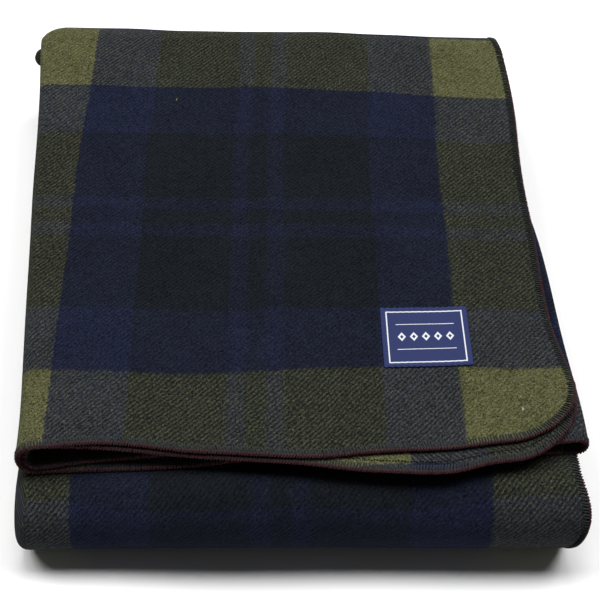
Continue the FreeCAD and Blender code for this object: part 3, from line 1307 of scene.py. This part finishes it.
@dataclass
class Overlock:
    """The three threads of the overlocked edge, stitch by stitch along one part of the rim."""

    cloth: FoldedCloth
    part: str
    looper: Yarn
    purl: Yarn
    sewing: Yarn
    pitch: float = 0.00165
    reach: float = 0.0042
    thread: float = 0.00046
    lean: float = 0.0009

    def stations(self, seed: int) -> dict[str, Array]:
        """Evenly spaced stitches with their frames on the folded cloth.

        Args:
            seed: Seed of the small unevenness between stitches.

        Returns:
            Places and directions: rim point, inward, along and out of the face side.
        """
        plan = self.cloth.plan
        outline = Outline(plan.flat_width, plan.length, plan.corner)
        u, v, iu, iv = outline.stretch(self.part, 4000)
        rim = self.cloth.place(u, v)
        length = np.concatenate([[0], np.cumsum(np.linalg.norm(np.diff(rim, axis=0), axis=1))])
        count = int(length[-1] / self.pitch)
        draw = np.random.default_rng(seed)
        even = (np.arange(count) + 0.5) * length[-1] / count
        even = even + draw.uniform(-0.12, 0.12, count) * self.pitch
        u, v, iu, iv = (np.interp(even, length, q) for q in (u, v, iu, iv))
        here, du, dv, out = self.cloth.frame_at(u, v)
        inward = unit(iu[:, None] * du + iv[:, None] * dv)
        along = unit(np.gradient(here, axis=0))
        return {"rim": here, "inward": inward, "along": along, "out": out,
                "draw": draw.uniform(-1, 1, (count, 4))}

    def carried(self, st: dict[str, Array], stitch: Array) -> Array:
        """Stitch points (inward, along, out) carried to every stitch, with its unevenness.

        Args:
            st: The stations.
            stitch: One stitch's points, (points, 3), metres.

        Returns:
            Paths, (stitches, points, 3).
        """
        jitter = st["draw"]
        inward = stitch[None, :, 0] * (1 + 0.06 * jitter[:, 0:1])
        along = stitch[None, :, 1] + 0.00010 * jitter[:, 1:2]
        out = stitch[None, :, 2] * (1 + 0.05 * jitter[:, 2:3])
        return (st["rim"][:, None, :] + inward[..., None] * st["inward"][:, None, :]
                + along[..., None] * st["along"][:, None, :]
                + out[..., None] * st["out"][:, None, :])

    def wrap(self) -> Array:
        """One looper wrap: from the needle line over the face, round the rim and back under.

        Returns:
            Points (inward, along, out), metres.
        """
        d, s, r = self.reach, self.lean, self.cloth.plan.cloth * 0.5
        return np.array([
            (d, s, r * 0.80), (d * 0.80, s * 0.8, r * 1.02), (d * 0.42, s * 0.4, r * 0.98),
            (d * 0.12, 0.1 * s, r * 0.80), (-0.0003, 0.0, r * 0.42),
            (-0.0003, 0.0, -r * 0.42), (d * 0.12, 0.1 * s, -r * 0.80),
            (d * 0.42, s * 0.4, -r * 0.98), (d * 0.80, s * 0.8, -r * 1.02),
            (d, s, -r * 0.80)])

    def knot(self) -> Array:
        """One purl: a slanting loop across the rim, over half a pitch ahead and behind.

        Returns:
            Points (inward, along, out), metres.
        """
        p, r = self.pitch * 0.62, self.cloth.plan.cloth * 0.5
        return np.array([
            (0.0008, -p, r * 0.78), (0.0001, -p * 0.75, r * 0.82), (-0.0006, -p * 0.35, r * 0.46),
            (-0.0008, 0.0, 0.0), (-0.0006, p * 0.35, -r * 0.46), (0.0001, p * 0.75, -r * 0.82),
            (0.0008, p, -r * 0.78)])

    def needle(self) -> Array:
        """One needle stitch on the cloth's back, along the line where the wraps end.

        Returns:
            Points (inward, along, out), metres.
        """
        p, r = self.pitch * 0.42, self.cloth.plan.cloth * 0.5
        d = self.reach + 0.0016
        return np.array([(d, -p, -r * 0.9), (d, -p * 0.5, -r * 1.03), (d, p * 0.5, -r * 1.03),
                         (d, p, -r * 0.9)])

    def build(self, seed: int) -> list[bpy.types.Object]:
        """Makes the looper wraps, the purl thread and the needle thread of this part.

        Args:
            seed: Seed of the unevenness.

        Returns:
            The three pieces.
        """
        st = self.stations(seed)
        made = []
        forms = [("looper_wrap_", self.wrap(), self.thread, self.looper, Slot.LOOPER),
                 ("purl_thread_", self.knot(), self.thread * 0.95, self.purl, Slot.PURL),
                 ("needle_thread_", self.needle(), self.thread, self.sewing, Slot.LOOPER)]
        for prefix, stitch, radius, yarn, slot in forms:
            paths = self.carried(st, stitch)
            points = len(stitch)
            swell = 0.72 + 0.36 * np.sin(np.linspace(0.12, 0.88, points) * math.pi)
            across = np.broadcast_to(st["along"][:, None, :], paths.shape)
            if prefix == "needle_thread_":
                across = np.broadcast_to(st["out"][:, None, :], paths.shape)
            verts, faces = tubes(paths, radius * swell[None], across)
            piece = mesh_object(prefix + self.part + "_stitches", verts, faces, yarn)
            made.append(piece)
        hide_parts("looper_wrap_" + self.part)
        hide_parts("purl_thread_" + self.part)
        return made


# ---------------------------------------------------------------- the label


@dataclass(frozen=True)
class LabelWeave(Finish):
    """Fine blue satin with a woven white frame and a plain row of lozenges between two rules.

    Its UV map runs from -0.5 to 0.5 both ways.
    """

    blue: tuple = (0.027, 0.036, 0.105)
    white: tuple = (0.66, 0.68, 0.72)
    wide: float = 51.0
    deep: float = 43.0
    rule: float = 0.75

    def build(self) -> bpy.types.Material:
        """Makes the material.

        Returns:
            The finished material.
        """
        n = Nodes("label_satin")
        a, b, _ = n.parts(n.uv("patch"))
        grain = n.noise(n.uv("patch"), 160, 2, 0.6) - 0.5
        x = a * self.wide + grain * 0.5
        y = b * self.deep + grain * 0.5
        frame_at = (x.size() - (self.wide / 2 - 3.4)).most(y.size() - (self.deep / 2 - 3.2))
        frame = self.line(frame_at, self.rule)
        inside = 1.0 - (x.size() - 17.0).step(-0.2, 0.2)
        rules = self.line(y.size() - 9.0, 0.45) * inside
        cell = ((x + 24.5) % 7.0 - 3.5).size()
        lozenge = 1.0 - (cell + y.size() * 0.75).step(2.1, 2.6)
        hollow = (cell + y.size() * 0.75).step(0.9, 1.3)
        row = lozenge * hollow * (1.0 - (x.size() - 17.4).step(-0.1, 0.1))
        drawn = frame.most(rules).most(row).clamped()
        thread = (x * 9.0).sine() * (y * 9.0).sine()
        blue = n.scaled(self.blue, 1.0 + thread * 0.18 + grain * 0.5)
        colour = n.mix(drawn, blue, self.white)
        normal = n.bump(thread * 0.3 + drawn * 0.6 + grain * 0.3, 0.0003, 0.6)
        return n.finish(colour, 0.55 + grain * 0.2, normal)

    @staticmethod
    def line(distance: Value, width: float) -> Value:
        """1 within half a width of where distance is nought, else 0."""
        return 1.0 - distance.size().step(width * 0.35, width * 0.65)


@dataclass
class Label:
    """The woven label, laid on the top layer and sewn down along two edges."""

    cloth: FoldedCloth
    weave: LabelWeave
    thread: Yarn
    turn: float = 1.5
    thick: float = 0.0006
    stitches: int = 14
    stitch_long: float = 0.0024

    def laid(self, a: Array, b: Array, lift: float) -> Array:
        """Points of the label's own plane, laid on the cloth and lifted off it.

        Args:
            a: Across the label from its middle, metres.
            b: Along the label from its middle, metres.
            lift: How far the points are above the cloth's face, metres.

        Returns:
            Places, (..., 3), metres.
        """
        low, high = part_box("woven_label")
        middle = (Vector(low) + Vector(high)) / 2
        t = math.radians(self.turn)
        x = middle.x + a * math.cos(t) - b * math.sin(t)
        y = middle.y + a * math.sin(t) + b * math.cos(t)
        here, _, _, out = self.cloth.frame_at(*self.cloth.on_top(x, y))
        return here + out * (self.cloth.plan.cloth / 2 + lift)

    def build(self) -> list[bpy.types.Object]:
        """Makes the label and its stitches.

        Returns:
            The two pieces.
        """
        wide, deep = self.weave.wide * MM, self.weave.deep * MM
        s, t = np.meshgrid(np.linspace(-0.5, 0.5, 61), np.linspace(-0.5, 0.5, 51))
        rim = np.minimum(0.5 - np.abs(s), 0.5 - np.abs(t))
        pucker = 0.0003 * np.sin(s * wide / 0.0036 * 2 * math.pi) * np.exp(-rim / 0.05)
        verts = self.laid(s * wide, t * deep, self.thick / 2 + 0.0001)
        verts[..., 1] += pucker * np.sign(t)
        verts[..., 2] += np.abs(pucker) * 0.4
        label = mesh_object("label", verts.reshape(-1, 3), grid_faces(*s.shape),
                            self.weave)
        ClothSheet.give_uv(label, "patch", s, t)
        solid = label.modifiers.new("thickness", "SOLIDIFY")
        solid.thickness, solid.offset = self.thick, 0.0
        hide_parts("woven_label")

        pitch = (wide - 0.002) / self.stitches
        middle = (np.arange(self.stitches) + 0.5 - self.stitches / 2) * pitch
        along = self.stitch_long * np.array([-0.5, -0.42, -0.2, 0.2, 0.42, 0.5])
        rise = self.thick + 0.0001 + 0.00012 * np.array([-2.0, 0.2, 1.0, 1.0, 0.2, -2.0])
        rows = []
        for side in (-1, 1):
            a = middle[:, None] + along[None]
            b = np.full_like(a, side * (deep / 2 - 0.0012))
            rows.append(self.laid(a, b, 0.0) + np.array([0, 0, 1]) * rise[None, :, None])
        paths = np.concatenate(rows)
        up = np.broadcast_to(np.array([0.0, 0.0, 1.0]), paths.shape)
        verts, faces = tubes(paths, 0.00022, up)
        sewing = mesh_object("label_stitch_rows", verts, faces, self.thread)
        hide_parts("label_stitches")
        return [label, sewing]


# ---------------------------------------------------------------- the stage


@dataclass
class Studio:
    """Camera, soft light and pale floor."""

    target: tuple = (0.0085, -0.057, 0.070)
    back: float = 0.5122
    rise: float = 0.6268
    lens: float = 82.2
    light_strength: float = 5.5
    light_behind: float = 0.36
    light_angle: float = 28.0
    light_sides: tuple = (("light_left", -0.6), ("light_middle", 0.0), ("light_right", 0.6))
    surround: float = 0.05
    backdrop: float = 1.1
    floor_half: float = 6.0

    def camera(self) -> None:
        """Makes the camera, looking down at the top of the blanket."""
        data = bpy.data.cameras.new("camera")
        data.lens, data.sensor_width = self.lens, 36.0
        camera = bpy.data.objects.new("camera", data)
        target = Vector(self.target)
        camera.location = target + Vector((0, -self.back, self.rise))
        camera.rotation_mode = "QUATERNION"
        camera.rotation_quaternion = (target - camera.location).to_track_quat("-Z", "Y")
        bpy.context.scene.collection.objects.link(camera)
        bpy.context.scene.camera = camera

    def light(self, name: str, side: float) -> None:
        """Makes one broad, far light from behind and above, leaning to one side.

        Args:
            name: The light's name.
            side: How far it leans to the right, against a height of 1.
        """
        data = bpy.data.lights.new(name, "SUN")
        data.energy = self.light_strength / len(self.light_sides)
        data.angle = math.radians(self.light_angle)
        lamp = bpy.data.objects.new(name, data)
        lamp.location = Vector((side, self.light_behind, 1.0))
        lamp.rotation_mode = "QUATERNION"
        lamp.rotation_quaternion = (-lamp.location).to_track_quat("-Z", "Y")
        bpy.context.scene.collection.objects.link(lamp)

    def world(self) -> None:
        """Makes the surroundings: faint as light, and pale where the backdrop is seen."""
        world = bpy.data.worlds.new("surround")
        world.use_nodes = True
        tree = world.node_tree
        mix = tree.nodes.new("ShaderNodeMixShader")
        dim, pale = tree.nodes["Background"], tree.nodes.new("ShaderNodeBackground")
        for socket, (node, strength) in enumerate(((dim, self.surround), (pale, self.backdrop)), 1):
            node.inputs[0].default_value = (1, 1, 1, 1)
            node.inputs[1].default_value = strength
            tree.links.new(node.outputs[0], mix.inputs[socket])
        seen = tree.nodes.new("ShaderNodeLightPath")
        tree.links.new(seen.outputs["Is Camera Ray"], mix.inputs[0])
        tree.links.new(mix.outputs[0], tree.nodes["World Output"].inputs[0])
        bpy.context.scene.world = world
        bpy.context.scene.view_settings.view_transform = "Standard"

    def floor(self) -> None:
        """Makes the plain pale floor."""
        n = Nodes("pale_floor")
        at = n.coordinates()
        colour = n.mix(n.noise(at, 3, 2), (0.88, 0.88, 0.88), (0.90, 0.90, 0.90))
        n.finish(colour, 0.9, n.bump(n.noise(at, 400, 2), 0.0001, 0.1))
        half = self.floor_half
        mesh = bpy.data.meshes.new("floor")
        mesh.from_pydata([(-half, -half, 0), (half, -half, 0), (half, half, 0), (-half, half, 0)],
                         [], [(0, 1, 2, 3)])
        mesh.materials.append(n.material)
        floor = bpy.data.objects.new("floor", mesh)
        bpy.context.scene.collection.objects.link(floor)

    def build(self) -> None:
        """Makes the camera, the lights, the surroundings and the floor."""
        self.camera()
        for name, side in self.light_sides:
            self.light(name, side)
        self.world()
        self.floor()


def main() -> None:
    """Builds the stage, the cloth and every thread."""
    logging.basicConfig(level=logging.INFO, format="%(message)s")
    Studio().build()

    cloth = FoldedCloth(FoldPlan())
    sheet = ClothSheet(cloth, PlaidWool()).build()
    LOG.info("%s: %d vertices", sheet.name, len(sheet.data.vertices))

    looper = Yarn("looper_yarn", (0.010, 0.013, 0.014), (0.045, 0.052, 0.052))
    purl = Yarn("purl_yarn", (0.036, 0.006, 0.010), (0.110, 0.026, 0.034))
    sewing = Yarn("needle_yarn", (0.0025, 0.003, 0.0035), (0.010, 0.011, 0.012))
    for seed, part in enumerate(("outer_end", "inner_end", "side_a", "side_b")):
        for piece in Overlock(cloth, part, looper, purl, sewing).build(100 + seed):
            LOG.info("%s: %d vertices", piece.name, len(piece.data.vertices))

    thread = Yarn("label_thread", (0.030, 0.045, 0.13), (0.08, 0.11, 0.24))
    for piece in Label(cloth, LabelWeave(), thread).build():
        LOG.info("%s: %d vertices", piece.name, len(piece.data.vertices))


if __name__ == "__main__":
    main()
